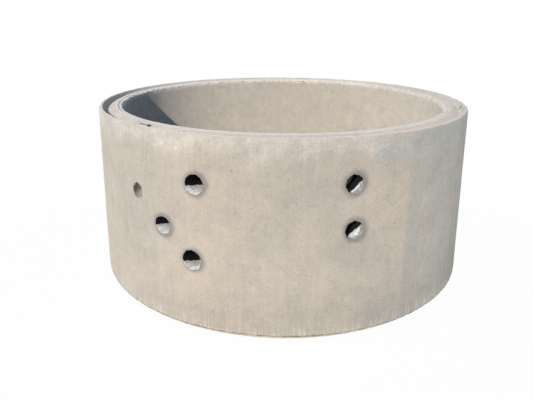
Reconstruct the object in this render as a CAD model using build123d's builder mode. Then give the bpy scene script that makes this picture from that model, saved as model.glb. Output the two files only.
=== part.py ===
from build123d import *
import os
from math import cos, radians, sin

# A perforated concrete chamber ring, cast in one piece: a plain round wall with a groove in its top
# end, the matching tongue on its bottom end, and a few drilled outlets through the wall.
# Millimetres, +Z up. The origin is on the ring's axis, on the floor that the tongue stands on.

# Ring
bore_diameter = 1500.0
wall_thickness = 105.0
laid_height = 750.0  # one ring's share of a laid stack: bottom shoulder to top of the outer lip
outer_edge_radius = 9.0  # rounding of the top outer arris
inner_edge_chamfer = 6.0
bottom_outer_edge_radius = 6.0
bottom_inner_edge_chamfer = 8.0

# Groove in the top end, from the outside of the wall inwards
outer_lip_width = 17.0
groove_depth = 22.0
groove_outer_draft = 6.0
groove_floor_width = 16.0
groove_slope_run = 24.0
groove_corner_radius = 3.0
inner_lip_drop = 4.0  # the broad inner lip stays this far under the outer one, which carries the load

# Tongue on the bottom end: the groove's section less the room for the sealing strip
joint_side_clearance = 3.0
joint_end_clearance = 5.0

# Drilled outlets, as seen on the outside: direction round the ring from +X, height over the shoulder
outlet_diameter = 75.0
left_outlets = [(-120.8, 386.0), (-111.0, 566.0), (-112.2, 274.0)]
right_outlets = [(-72.7, 581.0), (-72.3, 410.0)]

# Filled lifting recess in the outside, a shallow tapered pocket
recess_direction = -129.8
recess_height = 492.0
recess_mouth_diameter = 62.0
recess_bottom_diameter = 46.0
recess_depth = 18.0

# Worked out from the sizes above
inner_radius = bore_diameter / 2
outer_radius = inner_radius + wall_thickness
tongue_height = groove_depth - joint_end_clearance
shoulder_z = tongue_height
top_z = shoulder_z + laid_height

lip_inner_radius = outer_radius - outer_lip_width
floor_outer_radius = lip_inner_radius - groove_outer_draft
floor_inner_radius = floor_outer_radius - groove_floor_width
slope_top_radius = floor_inner_radius - groove_slope_run
inner_lip_z = top_z - inner_lip_drop
slope_run_per_height = groove_slope_run / (groove_depth - inner_lip_drop)

# The tongue keeps the groove's slopes, each moved in by the side clearance along the radius
outer_draft_at_tip = groove_outer_draft * tongue_height / groove_depth
tongue_outer_root_radius = lip_inner_radius - joint_side_clearance
tongue_outer_tip_radius = tongue_outer_root_radius - outer_draft_at_tip
tongue_inner_root_radius = slope_top_radius - inner_lip_drop * slope_run_per_height + joint_side_clearance
tongue_inner_tip_radius = tongue_inner_root_radius + tongue_height * slope_run_per_height


def wall_point(direction, height, radius):
    """A point at a height over the bottom shoulder, in a direction round the ring."""
    angle = radians(direction)
    return (radius * cos(angle), radius * sin(angle), shoulder_z + height)


def wall_plane(direction, height, radius):
    """A plane that faces outwards at that point, its normal along the ring's radius."""
    angle = radians(direction)
    return Plane(
        origin=wall_point(direction, height, radius),
        x_dir=(-sin(angle), cos(angle), 0),
        z_dir=(cos(angle), sin(angle), 0),
    )


def rims_at(height):
    """The ring's round edges at a height, the innermost first."""
    tolerance = 0.1
    edges = concrete_ring.edges().filter_by_position(Axis.Z, height - tolerance, height + tolerance)
    return edges.sort_by(SortBy.RADIUS)


with BuildPart() as concrete_ring:
    # The wall's section, turned about the axis
    with BuildSketch(Plane.XZ):
        with BuildLine():
            Polyline(
                (inner_radius, shoulder_z),
                (tongue_inner_root_radius, shoulder_z),
                (tongue_inner_tip_radius, 0),
                (tongue_outer_tip_radius, 0),
                (tongue_outer_root_radius, shoulder_z),
                (outer_radius, shoulder_z),
                (outer_radius, top_z),
                (lip_inner_radius, top_z),
                (floor_outer_radius, top_z - groove_depth),
                (floor_inner_radius, top_z - groove_depth),
                (slope_top_radius, inner_lip_z),
                (inner_radius, inner_lip_z),
                close=True,
            )
        make_face()
    revolve(axis=Axis.Z)

    # Edges as the mould leaves them
    chamfer(rims_at(inner_lip_z)[0], length=inner_edge_chamfer)
    fillet(rims_at(top_z)[-1], radius=outer_edge_radius)
    chamfer(rims_at(shoulder_z)[0], length=bottom_inner_edge_chamfer)
    fillet(rims_at(shoulder_z)[-1], radius=bottom_outer_edge_radius)
    fillet(rims_at(top_z - groove_depth), radius=groove_corner_radius)

    # Outlets, drilled square to the wall
    for direction, height in left_outlets + right_outlets:
        with BuildSketch(wall_plane(direction, height, outer_radius)):
            Circle(outlet_diameter / 2)
        extrude(amount=wall_thickness, both=True, mode=Mode.SUBTRACT)

    # The lifting recess, its sides tapering in to a flat bottom
    with BuildSketch(wall_plane(recess_direction, recess_height, outer_radius)):
        Circle(recess_mouth_diameter / 2)
    with BuildSketch(wall_plane(recess_direction, recess_height, outer_radius - recess_depth)):
        Circle(recess_bottom_diameter / 2)
    loft(mode=Mode.SUBTRACT)

os.makedirs("parts", exist_ok=True)
concrete_ring.part.label = "concrete_ring"
export_step(concrete_ring.part, "parts/concrete_ring.step")
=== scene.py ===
import math
import random

import bpy
from mathutils import Euler, Matrix, Vector


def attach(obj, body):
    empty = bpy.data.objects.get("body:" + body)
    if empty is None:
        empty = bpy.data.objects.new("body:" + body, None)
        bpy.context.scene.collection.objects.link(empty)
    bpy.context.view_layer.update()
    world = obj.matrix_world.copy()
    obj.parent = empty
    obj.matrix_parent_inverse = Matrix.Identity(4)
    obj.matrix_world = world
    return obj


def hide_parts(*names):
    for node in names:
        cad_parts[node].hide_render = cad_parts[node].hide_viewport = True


# A perforated concrete chamber ring on a pale floor. Metres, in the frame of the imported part:
# +Z up along the ring's axis, the floor at z = 0, the viewer on the -Y side. A turn is an angle round
# the axis in degrees, 0 at the front and positive to the right. A height is over the bottom shoulder.

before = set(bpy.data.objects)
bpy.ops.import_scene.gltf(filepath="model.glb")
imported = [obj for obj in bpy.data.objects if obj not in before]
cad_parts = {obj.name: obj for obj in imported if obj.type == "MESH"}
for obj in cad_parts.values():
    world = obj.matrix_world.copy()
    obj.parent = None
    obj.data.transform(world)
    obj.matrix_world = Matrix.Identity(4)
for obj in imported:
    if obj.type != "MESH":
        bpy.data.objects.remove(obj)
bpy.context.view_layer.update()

# The ring's section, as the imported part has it
INNER_RADIUS = 0.750
OUTER_RADIUS = 0.855
SHOULDER_Z = 0.017
LIP_Z = 0.767
LIP_INNER_RADIUS = 0.838
INNER_LIP_Z = 0.763
GROOVE_Z = 0.745
GROOVE_MIDDLE_RADIUS = 0.824

# Turn and height of each outlet, and of the filled lifting recess
OUTLETS = [(-30.8, 0.386), (-21.0, 0.566), (-22.2, 0.274), (17.3, 0.581), (17.7, 0.410)]
RECESS = (-39.8, 0.492)
# How far paste has narrowed each outlet: its width and height against the drill's, its shift right and up
PASTE = [
    (0.97, 0.86, 0.0, 0.0),
    (0.96, 0.95, 0.0, 0.0),
    (1.0, 1.0, 0.0, 0.0),
    (0.88, 0.93, 0.0015, -0.001),
    (0.90, 0.93, 0.001, -0.002),
]
# The painted shade on the upper side of each outlet's throat: the slope of its lower edge in degrees, the
# edge's rise over the outlet's middle, and how pale the rest of the throat is, a painted light level for each
# outlet
THROATS = [(17, 0.003, 1.00), (11, -0.002, 1.00), (14, -0.002, 0.96), (42, -0.0085, 1.00), (36, 0.000, 0.98)]
# A point out in front, at about eye level, that those edges run towards
THROAT_SOURCE = Vector((0, -2.537, 1.168))
# Turn, height and half length of each pale scratch
SCRATCHES = [
    (-46.7, 0.696, 0.018),
    (-54.0, 0.465, 0.022),
    (-29.9, 0.701, 0.007),
    (-34.7, 0.640, 0.005),
    (-25.6, 0.692, 0.006),
]
# Dark marks along the groove's slope: turn, radius, half length in degrees, half width, strength
GROOVE_MARKS = [
    (-38.4, 0.8000, 0.8, 0.0050, 0.92),
    (-40.7, 0.7996, 2.1, 0.0017, 0.75),
    (-25.8, 0.8005, 0.4, 0.0022, 0.50),
]
GROOVE_STAIN_TURN = 81

STEPS_ROUND = 1080
DOUBLES_APART = 0.00002
SMOOTH_UNDER_DEGREES = 38
chance = random.Random(11)


def outward(turn):
    """The level unit vector that points out of the ring at a turn."""
    angle = math.radians(turn)
    return Vector((math.sin(angle), -math.cos(angle), 0))


def on_axis(height):
    return Vector((0, 0, SHOULDER_Z + height))


def wall_point(turn, height):
    """A point on the outer face."""
    return outward(turn) * OUTER_RADIUS + on_axis(height)


# Shaping


def select_none():
    if bpy.context.object and bpy.context.object.mode != "OBJECT":
        bpy.ops.object.mode_set(mode="OBJECT")
    bpy.ops.object.select_all(action="DESELECT")


def select_only(piece):
    select_none()
    bpy.context.view_layer.objects.active = piece
    piece.select_set(True)


def named(name):
    """Names the piece just added, and puts its place into its mesh."""
    bpy.ops.object.transform_apply(location=True, rotation=True, scale=True)
    piece = bpy.context.object
    piece.name = name
    piece.data.name = name
    return piece


def edit(piece):
    """Opens a piece for editing, with all of it selected."""
    select_only(piece)
    bpy.ops.object.mode_set(mode="EDIT")
    bpy.ops.mesh.select_all(action="SELECT")


def end_edit():
    bpy.ops.object.mode_set(mode="OBJECT")


def mend(piece):
    """Merges doubles and turns the faces outwards."""
    edit(piece)
    bpy.ops.mesh.remove_doubles(threshold=DOUBLES_APART)
    bpy.ops.mesh.normals_make_consistent(inside=False)
    end_edit()


def drop_flaps(piece):
    """Deletes the single faces that the cuts leave standing off the skin."""
    edit(piece)
    bpy.ops.mesh.quads_convert_to_tris(quad_method="BEAUTY", ngon_method="BEAUTY")
    bpy.ops.mesh.select_all(action="DESELECT")
    bpy.ops.mesh.select_mode(type="EDGE")
    bpy.ops.mesh.select_non_manifold(extend=False)
    bpy.ops.mesh.delete(type="ONLY_FACE")
    bpy.ops.mesh.select_all(action="SELECT")
    bpy.ops.mesh.delete_loose()
    bpy.ops.mesh.select_mode(type="VERT")
    end_edit()


def add_modifier(piece, kind, **settings):
    """Adds a modifier and applies it."""
    modifier = piece.modifiers.new(kind.title(), kind)
    for key, value in settings.items():
        setattr(modifier, key, value)
    select_only(piece)
    bpy.ops.object.modifier_apply(modifier=modifier.name)


def roughen(piece, size, strength, depth=2, contrast=1.0, middle=0.5, group=""):
    """Moves the skin in or out by a cloud pattern. With middle 1 it only goes in."""
    texture = bpy.data.textures.new(piece.name + "_relief", "CLOUDS")
    texture.noise_scale = size
    texture.noise_depth = depth
    texture.contrast = contrast
    add_modifier(
        piece,
        "DISPLACE",
        texture=texture,
        texture_coords="LOCAL",
        strength=strength,
        mid_level=middle,
        vertex_group=group,
    )


def weigh(piece, group_name, weight_at):
    """A vertex group whose weight comes from each point's place."""
    group = piece.vertex_groups.new(name=group_name)
    for vertex in piece.data.vertices:
        weight = weight_at(vertex.co)
        if weight > 0:
            group.add([vertex.index], min(weight, 1.0), "REPLACE")


def joined(pieces, name):
    select_none()
    for piece in pieces:
        piece.select_set(True)
    bpy.context.view_layer.objects.active = pieces[0]
    bpy.ops.object.join()
    whole = bpy.context.object
    whole.name = name
    return whole


def cut(piece, cutter, finish):
    """Takes the cutter's shape out of a piece. The new faces get the finish."""
    cutter.data.materials.clear()
    cutter.data.materials.append(finish)
    add_modifier(
        piece,
        "BOOLEAN",
        operation="DIFFERENCE",
        object=cutter,
        solver="MANIFOLD",
        material_mode="TRANSFER",
    )
    bpy.data.objects.remove(cutter)


def round_corner(centre, radius, from_angle, to_angle, count):
    """Points on a rounded corner of the section, from one angle to the other."""
    points = []
    for i in range(count + 1):
        angle = math.radians(from_angle + (to_angle - from_angle) * i / count)
        points.append(Vector((centre[0] + radius * math.cos(angle), 0, centre[1] + radius * math.sin(angle))))
    return points


def run_on(points, corners):
    """Goes on from the last point to each corner in turn, in evenly spaced steps."""
    for radius, z, count in corners:
        start, end = points[-1], Vector((radius, 0, z))
        points += [start.lerp(end, (i + 1) / count) for i in range(count)]


def section_points():
    """The wall's section in the X-Z plane, closer together where the edges wear."""
    points = round_corner((0.849, 0.023), 0.006, -90, 0, 3)
    # radius and height of each next corner, and how many steps lead to it
    run_on(points, [(OUTER_RADIUS, 0.060, 3), (OUTER_RADIUS, 0.700, 8), (OUTER_RADIUS, 0.752, 5)])
    points += round_corner((0.846, 0.758), 0.009, 0, 90, 4)
    groove = [(LIP_INNER_RADIUS, LIP_Z, 2), (0.8325, 0.747, 4), (0.830, GROOVE_Z, 1), (0.8175, GROOVE_Z, 2)]
    inner_lip = [(0.792, INNER_LIP_Z, 6), (0.756, INNER_LIP_Z, 8), (INNER_RADIUS, 0.757, 2)]
    inside = [(INNER_RADIUS, 0.720, 7), (INNER_RADIUS, 0.025, 9), (0.758, SHOULDER_Z, 2)]
    tongue = [(0.78967, SHOULDER_Z, 1), (0.81233, 0.0, 2), (0.83036, 0.0, 1), (0.835, SHOULDER_Z, 1)]
    run_on(points, groove + inner_lip + inside + tongue + [(0.849, SHOULDER_Z, 1)])
    return points


def spin_ring():
    """The whole ring: its section drawn point by point, then spun about the axis."""
    points = section_points()
    select_none()
    bpy.ops.mesh.primitive_plane_add(size=0.002, location=points[0])
    whole = named("cast_ring")
    edit(whole)
    bpy.ops.mesh.merge(type="CENTER")
    for before, after in zip(points, points[1:]):
        bpy.ops.mesh.extrude_region_move(TRANSFORM_OT_translate={"value": after - before})
    bpy.ops.mesh.select_all(action="SELECT")
    bpy.ops.mesh.remove_doubles(threshold=DOUBLES_APART)
    end_edit()
    add_modifier(
        whole,
        "SCREW",
        steps=STEPS_ROUND,
        render_steps=STEPS_ROUND,
        use_merge_vertices=True,
        merge_threshold=DOUBLES_APART,
        use_smooth_shade=False,
    )
    mend(whole)
    return whole


def arris_weight(place):
    """How worn the edges are: most at the inner arris, a little over the rest of the rim and the foot."""
    radius = math.hypot(place.x, place.y)
    turn = abs(math.degrees(math.atan2(place.x, -place.y)))
    crumble = min(max((turn - 50) / 28, 0.25), 1.0)
    to_inner = math.hypot(radius - 0.752, (place.z - 0.761) * 0.8)
    to_outer = math.hypot(radius - 0.852, place.z - 0.764)
    to_lip = math.hypot(radius - LIP_INNER_RADIUS, place.z - LIP_Z)
    to_foot = math.hypot(radius - OUTER_RADIUS, place.z - SHOULDER_Z)
    weight = max(
        crumble * (1.0 - to_inner / 0.018),
        0.45 - to_outer / 0.03,
        0.35 - to_lip / 0.02,
        0.5 - to_foot / 0.03,
        0.0,
    )
    over_rim = 0.08 if place.z > 0.744 else 0.0
    return weight + over_rim


def plug(name, turn, middle, sides, shape, wide=1.0, tall=1.0):
    """A cutter that points into the wall: a disc drawn inwards through a row of depths and radii.

    Depths are under the outer face. The middle is the place on the ring's axis that the plug points to.
    """
    axis = outward(turn)
    depth, radius = shape[0]
    select_none()
    bpy.ops.mesh.primitive_circle_add(
        vertices=sides,
        radius=radius * wide,
        fill_type="NGON",
        location=axis * (OUTER_RADIUS - depth) + middle,
        rotation=(math.radians(90), 0, math.radians(turn)),
    )
    cutter = named(name)
    edit(cutter)
    for next_depth, next_radius in shape[1:]:
        bpy.ops.mesh.extrude_region_move(TRANSFORM_OT_translate={"value": axis * (depth - next_depth)})
        scale = next_radius / radius
        centre = axis * (OUTER_RADIUS - next_depth) + middle
        bpy.ops.transform.resize(value=(scale, scale, scale), center_override=centre)
        depth, radius = next_depth, next_radius
    bpy.ops.mesh.select_all(action="SELECT")
    bpy.ops.transform.resize(value=(1, 1, tall / wide), center_override=middle)
    end_edit()
    mend(cutter)
    return cutter


def core_cutter(turn, height, wide, tall, right, up):
    """What the drill took out of one outlet: a rough core that flares a little at both faces."""
    axis = outward(turn)
    middle = outward(turn + 90) * right + on_axis(height + up)
    mouth = [(-0.012, 0.0415), (0.000, 0.0392), (0.003, 0.0380), (0.008, 0.0375)]
    bore = [(0.008 + 0.008 * i, 0.0375) for i in range(1, 9)]
    inner_flare = [(0.090, 0.0380), (0.098, 0.0395), (0.103, 0.0420), (0.108, 0.0460), (0.125, 0.0520)]
    core = plug("outlet_core", turn, middle, 72, mouth + bore + inner_flare, wide, tall)

    def roughness(place):
        depth = OUTER_RADIUS - place.dot(axis)
        if depth > 0.092:
            return 0.8
        return 0.22 if depth > 0.006 else 0.5

    weigh(core, "rough", roughness)
    roughen(core, 0.012, 0.012, depth=3, contrast=1.4, group="rough")
    return core


def recess_cutter():
    """The filled lifting recess: a shallow tapered pocket with a lumpy bottom."""
    turn, height = RECESS
    shape = [(-0.006, 0.036), (0.0, 0.0350), (0.005, 0.0325), (0.010, 0.0285), (0.0155, 0.0240)]
    pocket = plug("recess_pocket", turn, on_axis(height), 6, shape)
    add_modifier(pocket, "SUBSURF", subdivision_type="SIMPLE", levels=3, render_levels=3)
    roughen(pocket, 0.016, 0.008, depth=2, contrast=1.3)
    return pocket


def chip_cutter(turn, radius, z, length, width, depth):
    """One broken-off flake, a jagged lump lying along an arris."""
    select_none()
    bpy.ops.mesh.primitive_ico_sphere_add(
        subdivisions=2,
        radius=0.5,
        location=outward(turn) * radius + Vector((0, 0, z)),
        rotation=(chance.uniform(-0.4, 0.4), chance.uniform(-0.25, 0.25), math.radians(turn)),
        scale=(length, width, depth),
    )
    chip = named("chip")
    edit(chip)
    jag = min(width, depth) * 0.22
    bpy.ops.transform.vertex_random(offset=jag, uniform=0.3, normal=0.4, seed=chance.randrange(1, 9999))
    end_edit()
    return chip


# Finishes


def rgb(red, green, blue):
    """A colour given as it looks on screen, 0 to 255, as the linear values that a socket takes."""

    def linear(level):
        level = level / 255
        return level / 12.92 if level <= 0.04045 else ((level + 0.055) / 1.055) ** 2.4

    return (linear(red), linear(green), linear(blue), 1.0)


class Wire:
    """A node's output, on which Python's arithmetic adds Math nodes."""

    def __init__(self, nodes, socket):
        self.nodes = nodes
        self.socket = socket

    def __add__(self, other):
        return self.nodes.maths("ADD", self, other)

    __radd__ = __add__

    def __sub__(self, other):
        return self.nodes.maths("SUBTRACT", self, other)

    def __rsub__(self, other):
        return self.nodes.maths("SUBTRACT", other, self)

    def __mul__(self, other):
        return self.nodes.maths("MULTIPLY", self, other)

    __rmul__ = __mul__

    def most(self, other):
        return self.nodes.maths("MAXIMUM", self, other)

    def size(self):
        return self.nodes.maths("ABSOLUTE", self)


class Nodes:
    """A node tree that is filled node by node."""

    def __init__(self, tree):
        self.tree = tree
        self.tree.nodes.clear()

    def node(self, kind, settings, sockets, output=0):
        """Adds a node with its settings, then its sockets' values or links, and gives one output."""
        made = self.tree.nodes.new(kind)
        for key, value in settings.items():
            setattr(made, key, value)
        for key, value in sockets.items():
            if isinstance(value, Wire):
                self.tree.links.new(value.socket, made.inputs[key])
            else:
                made.inputs[key].default_value = value
        return Wire(self, made.outputs[output]) if made.outputs else None

    def maths(self, operation, *values):
        return self.node("ShaderNodeMath", {"operation": operation}, dict(enumerate(values)))

    def vector_maths(self, operation, first, second, output=0):
        return self.node("ShaderNodeVectorMath", {"operation": operation}, {0: first, 1: second}, output)

    def seen_directly(self):
        """1 where the camera looks straight at the surface, 0 where light only bounces off it."""
        return self.node("ShaderNodeLightPath", {}, {}, "Is Camera Ray")


class Finish(Nodes):
    """A material, with the place of each point: x, y, z and the radius from the ring's axis."""

    def __init__(self, name):
        self.material = bpy.data.materials.new(name)
        self.material.use_nodes = True
        super().__init__(self.material.node_tree)
        self.place = self.node("ShaderNodeTexCoord", {}, {}, "Object")
        apart = self.node("ShaderNodeSeparateXYZ", {}, {"Vector": self.place}, "X").socket.node
        self.x = Wire(self, apart.outputs["X"])
        self.y = Wire(self, apart.outputs["Y"])
        self.z = Wire(self, apart.outputs["Z"])
        self.radius = self.maths("SQRT", self.x * self.x + self.y * self.y)

    def ramp(self, value, start, end):
        """0 before start, 1 after end, smooth between them."""
        low, high, at_low, at_high = (start, end, 0.0, 1.0) if start < end else (end, start, 1.0, 0.0)
        return self.node(
            "ShaderNodeMapRange",
            {"interpolation_type": "SMOOTHSTEP"},
            {"Value": value, "From Min": low, "From Max": high, "To Min": at_low, "To Max": at_high},
        )

    def stretched(self, x, y, z):
        """The point's place, stretched, so that a pattern on it is squeezed by as much."""
        return self.vector_maths("MULTIPLY", self.place, (x, y, z))

    def noise(self, scale, detail, roughness, vector=None, distortion=0.0):
        """A cloudy value about 0.5."""
        return self.node(
            "ShaderNodeTexNoise",
            {},
            {
                "Vector": vector or self.place,
                "Scale": scale,
                "Detail": detail,
                "Roughness": roughness,
                "Distortion": distortion,
            },
        )

    def cloud(self, scale, detail, roughness, vector=None, distortion=0.0):
        """A cloudy value about 0."""
        return self.noise(scale, detail, roughness, vector, distortion) - 0.5

    def cells(self, scale, output):
        return self.node("ShaderNodeTexVoronoi", {}, {"Vector": self.place, "Scale": scale}, output)

    def spots(self, scale, edge, middle, left_out, taken):
        """Round spots in some of a pattern's cells, from their edge to their middle.

        Each cell has a random value. Those under left_out stay empty, those over taken have a spot.
        """
        pick = self.node("ShaderNodeSeparateColor", {}, {"Color": self.cells(scale, "Color")}, "Red")
        return self.ramp(self.cells(scale, "Distance"), edge, middle) * self.ramp(pick, left_out, taken)

    def along(self, direction):
        """How far a point lies in a direction."""
        return self.vector_maths("DOT_PRODUCT", self.place, direction, "Value")

    def apart(self, centre):
        """How far a point lies from a centre."""
        return self.vector_maths("DISTANCE", self.place, centre, "Value")

    def blend(self, under, over, share):
        return self.node("ShaderNodeMix", {"data_type": "RGBA"}, {"Factor": share, 6: under, 7: over}, 2)

    def shade(self, colour, level):
        """A colour made lighter or darker by a value about 1."""
        return self.node("ShaderNodeVectorMath", {"operation": "SCALE"}, {0: colour, "Scale": level})

    def output(self, surface):
        self.node("ShaderNodeOutputMaterial", {}, {"Surface": surface})
        return self.material

    def finish(self, colour, roughness, height, depth):
        """Joins the colour, the roughness and the relief into the surface. Depth is in metres."""
        relief = {"Height": height, "Distance": depth, "Strength": 1.0}
        sockets = {
            "Base Color": colour,
            "Roughness": roughness,
            "Normal": self.node("ShaderNodeBump", {}, relief, "Normal"),
            "Specular IOR Level": 0.25,
            "Diffuse Roughness": 1.0,
        }
        return self.output(self.node("ShaderNodeBsdfPrincipled", {}, sockets))


class Zones:
    """Masks for the parts of the cast ring, and the patterns that they share."""

    def __init__(self, f):
        self.turn = f.maths("ARCTAN2", f.x, 0 - f.y) * (180 / math.pi)
        self.height = f.z - SHOULDER_Z
        self.outside = f.ramp(f.radius, 0.846, 0.851)
        self.inside = f.ramp(f.radius, 0.757, 0.752)
        over_groove_floor = f.ramp(f.z, 0.7435, 0.7445)
        off_outside = 1 - self.outside * f.ramp(f.z, 0.766, 0.760)
        off_inside = 1 - self.inside * f.ramp(f.z, 0.762, 0.756)
        self.rim = over_groove_floor * off_outside * off_inside
        self.at_left = f.ramp(self.turn, -57.0, -66.0) * f.ramp(self.turn, -125.0, -100.0)
        self.to_side = f.ramp(self.turn, 112.0, 74.0)
        self.to_back = f.ramp(self.turn, 150.0, 110.0)
        self.cloudy = f.cloud(9.0, 4.0, 0.6, distortion=0.6)
        self.blotch = f.cloud(28.0, 3.0, 0.6)
        self.grain = f.cloud(260.0, 2.0, 0.7)
        self.smear = f.noise(1.0, 3.0, 0.65, f.stretched(20, 20, 55))


def mould_colour(f, zone):
    """Warm grey in broad clouds, with a grey wash at the right, a step of it low down and a patch high up."""
    colour = f.blend(rgb(218, 208, 193), rgb(209, 202, 189), f.ramp(f.noise(2.6, 3.0, 0.55), 0.38, 0.68))
    ragged_turn = zone.turn + zone.cloudy * 6
    main_wash = f.ramp(ragged_turn + f.ramp(zone.height, 0.38, 0.15) * 1.3, 32.0, 34.5)
    low_step = f.ramp(ragged_turn, 19.5, 22.0) * f.ramp(zone.height + zone.cloudy * 0.04, 0.128, 0.112)
    high_patch = (
        f.ramp(ragged_turn, 20.5, 24.0)
        * f.ramp(zone.height + zone.cloudy * 0.05, 0.635, 0.655)
        * f.ramp(zone.height, 0.745, 0.715)
    )
    washed = zone.outside * zone.to_side
    colour = f.blend(colour, rgb(204, 210, 208), washed * high_patch * 0.5)
    return f.blend(colour, rgb(190, 191, 184), washed * main_wash.most(low_step * 0.7) * 0.62)


def inner_face(f, zone, colour):
    """The inside's even tone, and its foot, darker towards the bottom, which is all that the outlets show of
    it.
    """
    colour = f.blend(colour, rgb(223, 216, 204), zone.inside * 0.85)
    dark_foot = f.ramp(f.z + zone.cloudy * 0.05, 0.31, 0.18) * zone.inside
    return f.blend(colour, rgb(42, 40, 38), dark_foot * 0.95)


def worn_faces(f, zone, colour):
    """The rim made paler, partly pale worn paste and partly painted light on its upward faces, and the
    scuffed band under its outer edge.
    """
    band = f.ramp(zone.height + zone.cloudy * 0.14, 0.645, 0.740) * f.ramp(zone.turn, 44.0, 14.0)
    ragged = f.ramp(zone.smear + zone.blotch * 0.7, 0.42, 0.62)
    scuffs = zone.outside * band * (0.58 + ragged * 0.42)
    # the rim's paleness is partly painted light on its upward faces
    return f.blend(colour, rgb(235, 231, 223), (scuffs * 0.68).most(zone.rim * 0.82))


def rim_bands(f, zone, colour):
    """Round the rim: a browner slope out of the groove, and a dark line on the broad inner lip."""
    reach = f.radius + zone.cloudy * 0.005
    slope = f.ramp(reach, 0.783, 0.793) * f.ramp(reach, 0.822, 0.814)
    colour = f.blend(colour, rgb(205, 193, 183), slope * zone.rim * (0.38 + zone.at_left * 0.12))
    line = f.ramp((reach - 0.7705 + zone.blotch * 0.008).size(), 0.0034, 0.0010) * f.ramp(f.z, 0.756, 0.759)
    line = line * f.ramp(zone.smear, 0.36, 0.50)
    return f.blend(colour, rgb(104, 104, 106), line * (0.10 + zone.at_left * 0.75))


def scratches(f, zone, colour):
    """Short pale scratches, a little off upright."""
    lean = 0.25
    for turn, height, length in SCRATCHES:
        middle = wall_point(turn, height)
        aside = f.along(outward(turn + 90)) - f.along((0, 0, 1)) * lean + middle.z * lean
        line = f.ramp(aside.size(), 0.0045, 0.0015) * f.ramp((f.z - middle.z).size(), length, length * 0.4)
        near = f.ramp(f.apart(middle), 0.05, 0.04)
        colour = f.blend(colour, rgb(248, 244, 236), line * near * zone.outside * 0.8)
    return colour


def combed_foot(f, zone, colour):
    """Short pale runs of paste along the foot."""
    comb = f.noise(1.0, 2.0, 0.7, f.stretched(150, 150, 6.0))
    combed = f.ramp(zone.height + (comb - 0.5) * 0.25, 0.095, 0.035) * zone.outside
    colour = f.blend(colour, rgb(236, 232, 218), f.ramp(comb, 0.52, 0.62) * combed * 0.8)
    return f.blend(colour, rgb(150, 144, 134), f.ramp(comb, 0.46, 0.38) * combed * 0.10)


def foot_line_and_halos(f, zone, colour):
    """A thin dark edge at the floor, and a soft grey ring round each outlet, set a little to the right."""
    edge = f.ramp(zone.height + zone.blotch * 0.012, 0.012, 0.001) * zone.outside
    colour = f.blend(colour, rgb(104, 84, 72), edge * 0.85)
    to_right = Vector((0.006, 0, 0))
    for turn, height in OUTLETS:
        away = f.apart(wall_point(turn, height) + to_right)
        halo = f.ramp(away + zone.blotch * 0.014, 0.060, 0.036) * zone.outside
        colour = f.blend(colour, rgb(120, 118, 118), halo * 0.55)
    return colour


def recess_fill(f, zone, colour):
    """The filled recess: mottled brown, and darker towards its upper left."""
    turn, height = RECESS
    middle = outward(turn) * 0.846 + on_axis(height)
    under_face = f.ramp(f.radius, 0.8536, 0.8524)
    filled = f.ramp(f.apart(middle) + zone.blotch * 0.02, 0.034, 0.029) * under_face
    mottled = 0.60 + zone.blotch * 0.8 + f.cloud(190.0, 2.0, 0.7) * 2.4
    colour = f.blend(colour, rgb(158, 148, 134), filled * mottled)
    up_left = Vector((0, 0, 0.70)) - outward(turn + 90) * 0.71
    corner = f.ramp(f.along(up_left) - middle.dot(up_left) + zone.blotch * 0.03, -0.016, 0.022)
    return f.blend(colour, rgb(74, 70, 66), filled * corner * 0.85)


def crumbled_arris(f, zone, colour):
    """Pale crumbs of paste along the inner arris at the back, with painted shade in the gaps between them,
    more of it at the left.
    """
    crumbs = f.noise(75.0, 3.0, 0.7)
    arris = f.ramp(f.radius + zone.blotch * 0.01, 0.766, 0.761) * f.ramp(f.z, 0.742, 0.748)
    arris = arris * f.ramp(zone.turn.size(), 55.0, 70.0)
    colour = f.blend(colour, rgb(244, 240, 233), arris * f.ramp(crumbs, 0.42, 0.50) * 0.85)
    # painted shade in the gaps between the crumbs, more of it at the left
    shaded_gaps = f.ramp(crumbs - zone.at_left * 0.08, 0.37, 0.32)
    return f.blend(colour, rgb(96, 94, 96), arris * shaded_gaps * 0.85)


def groove_marks(f, zone, colour):
    """Dark marks on the groove's slope, and a grey stain on its floor."""
    for turn, radius, length, width, strength in GROOVE_MARKS:
        along = ((zone.turn - turn) * (1 / length)).size()
        across = ((f.radius - radius) * (1 / width)).size()
        mark = f.ramp(along + zone.blotch * 0.8, 1.1, 0.7) * f.ramp(across + zone.blotch * 0.8, 1.2, 0.7)
        colour = f.blend(colour, rgb(52, 46, 47), mark * zone.rim * strength)
    middle = outward(GROOVE_STAIN_TURN) * GROOVE_MIDDLE_RADIUS + Vector((0, 0, GROOVE_Z))
    stain = f.ramp(f.apart(middle) + zone.blotch * 0.01, 0.026, 0.014)
    return f.blend(colour, rgb(128, 130, 130), stain * zone.rim * 0.6)


def painted_side_shade(f, zone):
    """How much darker the concrete is towards either side, painted shade where the light falls off round the
    ring and over the rim, and along the foot.
    """
    right = f.ramp(zone.turn, -6.0, 36.0) * 0.15 + f.ramp(zone.turn, 36.0, 76.0) * 0.24
    left = f.ramp(zone.turn, -30.0, -62.0) * f.ramp(zone.turn, -150.0, -110.0) * 0.06
    left = left + zone.outside * f.ramp(zone.turn, -22.0, -44.0) * f.ramp(zone.height, 0.68, 0.58) * 0.035
    foot = f.ramp(zone.height, 0.24, 0.06) * 0.08 * zone.outside * f.ramp(zone.turn, -50.0, -25.0)
    right_rim = zone.rim * f.ramp(zone.turn, -34.0, 12.0) * 0.055 * zone.to_back
    on_rim = 0.28
    dim = right * (zone.outside * zone.to_side + zone.rim * zone.to_back * on_rim)
    return dim + left * (zone.outside + zone.rim * on_rim) + foot + right_rim


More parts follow.
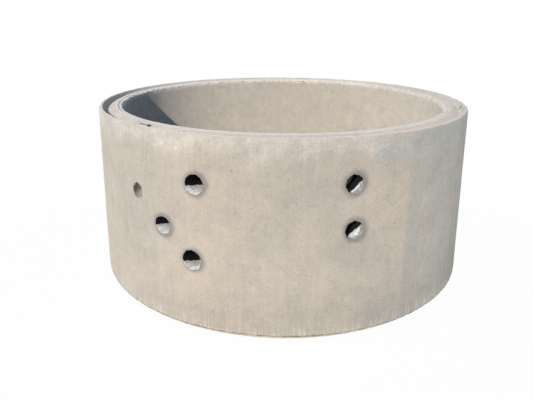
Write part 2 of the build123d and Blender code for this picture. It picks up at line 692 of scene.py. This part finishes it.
def ridges(f, zone):
    """Two low ridges, paler, that run round the broad inner lip."""
    reach = f.radius + zone.cloudy * 0.005
    outer = f.ramp(reach, 0.7720, 0.7745) * f.ramp(reach, 0.7850, 0.7805)
    inner = f.ramp((reach - 0.7625).size(), 0.0065, 0.0035)
    return (outer + inner) * zone.rim


def mottling(f, zone):
    """How light the concrete is, about 1: clouds, specks, grain, streaks and the trowel's lines."""
    level = 1 + zone.cloudy * 0.26 + zone.blotch * (0.20 + zone.inside * 0.10)
    # painted shade: darker towards either side, and darker along the foot
    level = level - (painted_side_shade(f, zone) - ridges(f, zone) * 0.06)
    level = level + f.cloud(120.0, 2.0, 0.7) * 0.26 + zone.grain * 0.50
    streak = f.cloud(1.0, 3.0, 0.6, f.stretched(34, 34, 1.6))
    fine_streak = f.cloud(1.0, 2.0, 0.6, f.stretched(95, 95, 3.0))
    level = level + streak * 0.06 * (1 - zone.rim) + fine_streak * 0.10 * zone.outside
    round_rim = {"X": f.radius * 420.0, "Y": zone.turn * 0.02, "Z": f.z * 160.0}
    trowelled = f.cloud(1.0, 2.0, 0.6, f.node("ShaderNodeCombineXYZ", {}, round_rim))
    return level + trowelled * 0.16 * zone.rim


def cast_concrete():
    """The faces that the mould made: warm grey, cloudy, streaked downwards and finely pitted."""
    f = Finish("cast_concrete")
    zone = Zones(f)
    colour = mould_colour(f, zone)
    for add_to in (
        inner_face,
        worn_faces,
        rim_bands,
        scratches,
        combed_foot,
        foot_line_and_halos,
        recess_fill,
        crumbled_arris,
        groove_marks,
    ):
        colour = add_to(f, zone, colour)
    # pits left by air: many small ones and a few larger
    small, large = f.spots(70.0, 0.20, 0.08, 0.90, 0.91), f.spots(24.0, 0.105, 0.055, 0.95, 0.96)
    pits = small.most(large) * (1 - zone.rim)
    colour = f.blend(f.shade(colour, mottling(f, zone)), rgb(150, 141, 131), pits * 0.6)
    bump = zone.grain * 0.35 + zone.blotch * 0.5 + zone.cloudy * 0.6 - pits * 1.2
    return f.finish(colour, 0.82 + zone.cloudy * 0.15, bump, 0.0016)


def broken_concrete():
    """Where a piece has broken off or a core was drilled out: pale paste with stones in it, and painted shade
    in the outlets' throats.
    """
    f = Finish("broken_concrete")
    lumps = f.cloud(60.0, 4.0, 0.65)
    facets = f.cloud(85.0, 2.0, 0.6)
    grain = f.cloud(420.0, 2.0, 0.7)
    stone = f.spots(95.0, 0.42, 0.34, 0.62, 0.66)
    colour = f.blend(rgb(246, 244, 240), rgb(196, 190, 182), stone * 0.5)
    # painted shade: the left throats are greyer deep in, the right ones broken and grey along their mouths
    depth = OUTER_RADIUS - f.radius
    at_right = f.ramp(f.x, 0.0, 0.1)
    mouth_edge = f.ramp(depth + facets * 0.050, 0.030, 0.010) * at_right
    deep = f.ramp(depth + facets * 0.020, 0.012, 0.060) * (1 - at_right)
    painted_grey_shade = (mouth_edge * 0.80).most(deep * 0.40)
    left_paste, right_paste = rgb(242, 240, 236)[:3], rgb(238, 239, 241)[:3]
    # painted shade: the upper side of each outlet's throat is painted black, down to a slanting plane
    for (turn, height), (slope, rise, painted_paleness) in zip(OUTLETS, THROATS):
        mouth = wall_point(turn, height)
        slope = math.radians(slope)
        edge = outward(turn + 90) * math.cos(slope) + Vector((0, 0, math.sin(slope)))
        facing = edge.cross(THROAT_SOURCE - mouth).normalized() * -1
        above = f.along(facing) - (mouth.dot(facing) + rise)
        near = f.ramp(f.apart(mouth), 0.130, 0.120)
        # how pale the rest of the throat is, set for each outlet, is a painted light level
        paste = f.shade(left_paste if turn < 0 else right_paste, painted_paleness + lumps * 0.6)
        colour = f.blend(colour, f.blend(paste, rgb(136, 135, 134), painted_grey_shade), near)
        # painted shade, black over the upper side of the throat
        throat_shade = f.ramp(above + lumps * 0.011 + facets * 0.010, -0.001, 0.0012) * near
        colour = f.blend(colour, rgb(34, 32, 31), throat_shade)
    level = 1.06 + lumps * 0.60 + facets * 0.7 + grain * 0.40
    bump = lumps * 1.4 + grain * 0.3 + stone * 0.25
    return f.finish(f.shade(colour, level), 0.9, bump, 0.003)


def pale_floor():
    """A pale floor that keeps the ring's shadow and runs out into white, with painted shade inside the ring.
    """
    f = Finish("pale_floor")
    # stronger than white close to the ring, where some of the floor's own shade is mixed in
    strength = 1.10
    even_white = 1 / strength
    far = f.ramp(f.radius, 1.0, 3.2)
    clear_of_ring = f.ramp(f.radius, 0.80, 0.84)
    white = f.seen_directly() * clear_of_ring * (0.84 + far * 0.16)
    # painted shade: inside the ring the floor is a darker grey
    colour = f.blend(rgb(226, 226, 226), rgb(128, 126, 124), f.ramp(f.radius, 0.80, 0.78))
    ground = f.node("ShaderNodeBsdfDiffuse", {}, {"Color": colour})
    light = f.blend((1, 1, 1, 1), (even_white, even_white, even_white, 1), far)
    glow = f.node("ShaderNodeEmission", {}, {"Color": light, "Strength": strength})
    return f.output(f.node("ShaderNodeMixShader", {}, {0: white, 1: ground, 2: glow}))


# The ring

cast = cast_concrete()
broken = broken_concrete()

ring = spin_ring()
ring.data.materials.append(cast)
roughen(ring, 0.30, 0.0016, depth=1, middle=1.0)
weigh(ring, "arrises", arris_weight)
roughen(ring, 0.016, 0.0075, depth=3, contrast=1.5, middle=1.0, group="arrises")

cores = [core_cutter(*place, *paste) for place, paste in zip(OUTLETS, PASTE)]
cut(ring, joined(cores, "outlet_cores"), broken)
cut(ring, recess_cutter(), cast)

# Rows of chips: first turn, last turn, how many, radius and height of the arris, longest and deepest
INNER_ARRIS = (INNER_RADIUS + 0.001, INNER_LIP_Z + 0.001)
CHIPS = [
    (-95, -58, 26, INNER_RADIUS + 0.003, INNER_LIP_Z + 0.001, 0.032, 0.018),
    (-150, -95, 30, *INNER_ARRIS, 0.034, 0.018),
    (-180, -150, 8, *INNER_ARRIS, 0.026, 0.013),
    (100, 150, 22, *INNER_ARRIS, 0.034, 0.017),
    (150, 180, 6, *INNER_ARRIS, 0.024, 0.010),
    (60, 100, 8, *INNER_ARRIS, 0.026, 0.010),
    (-55, 60, 6, *INNER_ARRIS, 0.014, 0.005),
    (-180, 180, 26, OUTER_RADIUS - 0.001, LIP_Z + 0.001, 0.024, 0.006),
    (-180, 180, 26, OUTER_RADIUS + 0.002, SHOULDER_Z - 0.001, 0.030, 0.010),
    (-180, 180, 12, LIP_INNER_RADIUS, LIP_Z + 0.001, 0.018, 0.005),
]
chips = []
for first, last, count, radius, z, longest, deepest in CHIPS:
    for i in range(count):
        turn = first + (last - first) * (i + chance.random()) / count
        share = chance.uniform(0.35, 1.0)
        chips.append(chip_cutter(turn, radius, z, longest * share, deepest * 1.3 * share, deepest * share))
cut(ring, joined(chips, "chips"), broken)
mend(ring)
drop_flaps(ring)
select_only(ring)
bpy.ops.object.shade_smooth_by_angle(angle=math.radians(SMOOTH_UNDER_DEGREES))

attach(ring, "root")
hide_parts("concrete_ring")

# Floor, lights and camera

select_none()
bpy.ops.mesh.primitive_plane_add(size=80)
floor = named("floor")
floor.data.materials.append(pale_floor())

# The lights: name, direction towards it, strength, spread in degrees, colour
LIGHTS = [
    ("key_light", (-0.268, -0.871, 0.412), 2.4, 0.5, (1.0, 0.925, 0.855)),
    ("top_light", (0, 0, 1), 0.12, 24, (1.0, 0.95, 0.90)),
    ("back_left_light", (-0.55, 1, 0.03), 0.80, 2, (1.0, 0.95, 0.90)),
    ("back_right_light", (0.55, 1, 0.03), 0.80, 2, (1.0, 0.95, 0.90)),
]
for name, direction, strength, spread, colour in LIGHTS:
    lamp = bpy.data.objects.new(name, bpy.data.lights.new(name, "SUN"))
    bpy.context.scene.collection.objects.link(lamp)
    lamp.data.energy = strength
    lamp.data.angle = math.radians(spread)
    lamp.data.color = colour
    lamp.rotation_euler = Vector(direction).to_track_quat("Z", "Y").to_euler()

# A soft cool fill from all round, behind a plain white
world = bpy.data.worlds.new("studio")
bpy.context.scene.world = world
world.use_nodes = True
studio = Nodes(world.node_tree)
fill = studio.node("ShaderNodeBackground", {}, {"Color": (0.42, 0.66, 1.0, 1.0), "Strength": 0.27})
white = studio.node("ShaderNodeBackground", {}, {"Color": (1.0, 1.0, 1.0, 1.0)})
either = studio.node("ShaderNodeMixShader", {}, {0: studio.seen_directly(), 1: fill, 2: white})
studio.node("ShaderNodeOutputWorld", {}, {"Surface": either})

# The camera, as fitted to the photographed ring in a 533 x 400 frame
IMAGE_WIDTH, IMAGE_HEIGHT = 533, 400
SENSOR_WIDTH = 36
FOCAL_PIXELS = 523.393
LENS_CENTRE_ROW = 142.596
PITCH, YAW, ROLL = 0.2424, -0.0291, 0.0032
camera = bpy.data.objects.new("camera", bpy.data.cameras.new("camera"))
bpy.context.scene.collection.objects.link(camera)
camera.data.sensor_width = SENSOR_WIDTH
camera.data.lens = SENSOR_WIDTH * FOCAL_PIXELS / IMAGE_WIDTH
camera.data.shift_y = -(IMAGE_HEIGHT / 2 - LENS_CENTRE_ROW) / IMAGE_WIDTH
camera.location = (0, -2.5369, 1.1506 + SHOULDER_Z)
facing = Euler((math.pi / 2 - PITCH, 0, -YAW)).to_matrix() @ Matrix.Rotation(ROLL, 3, "Z")
camera.rotation_euler = facing.to_euler()
bpy.context.scene.camera = camera
bpy.context.scene.view_settings.view_transform = "Standard"
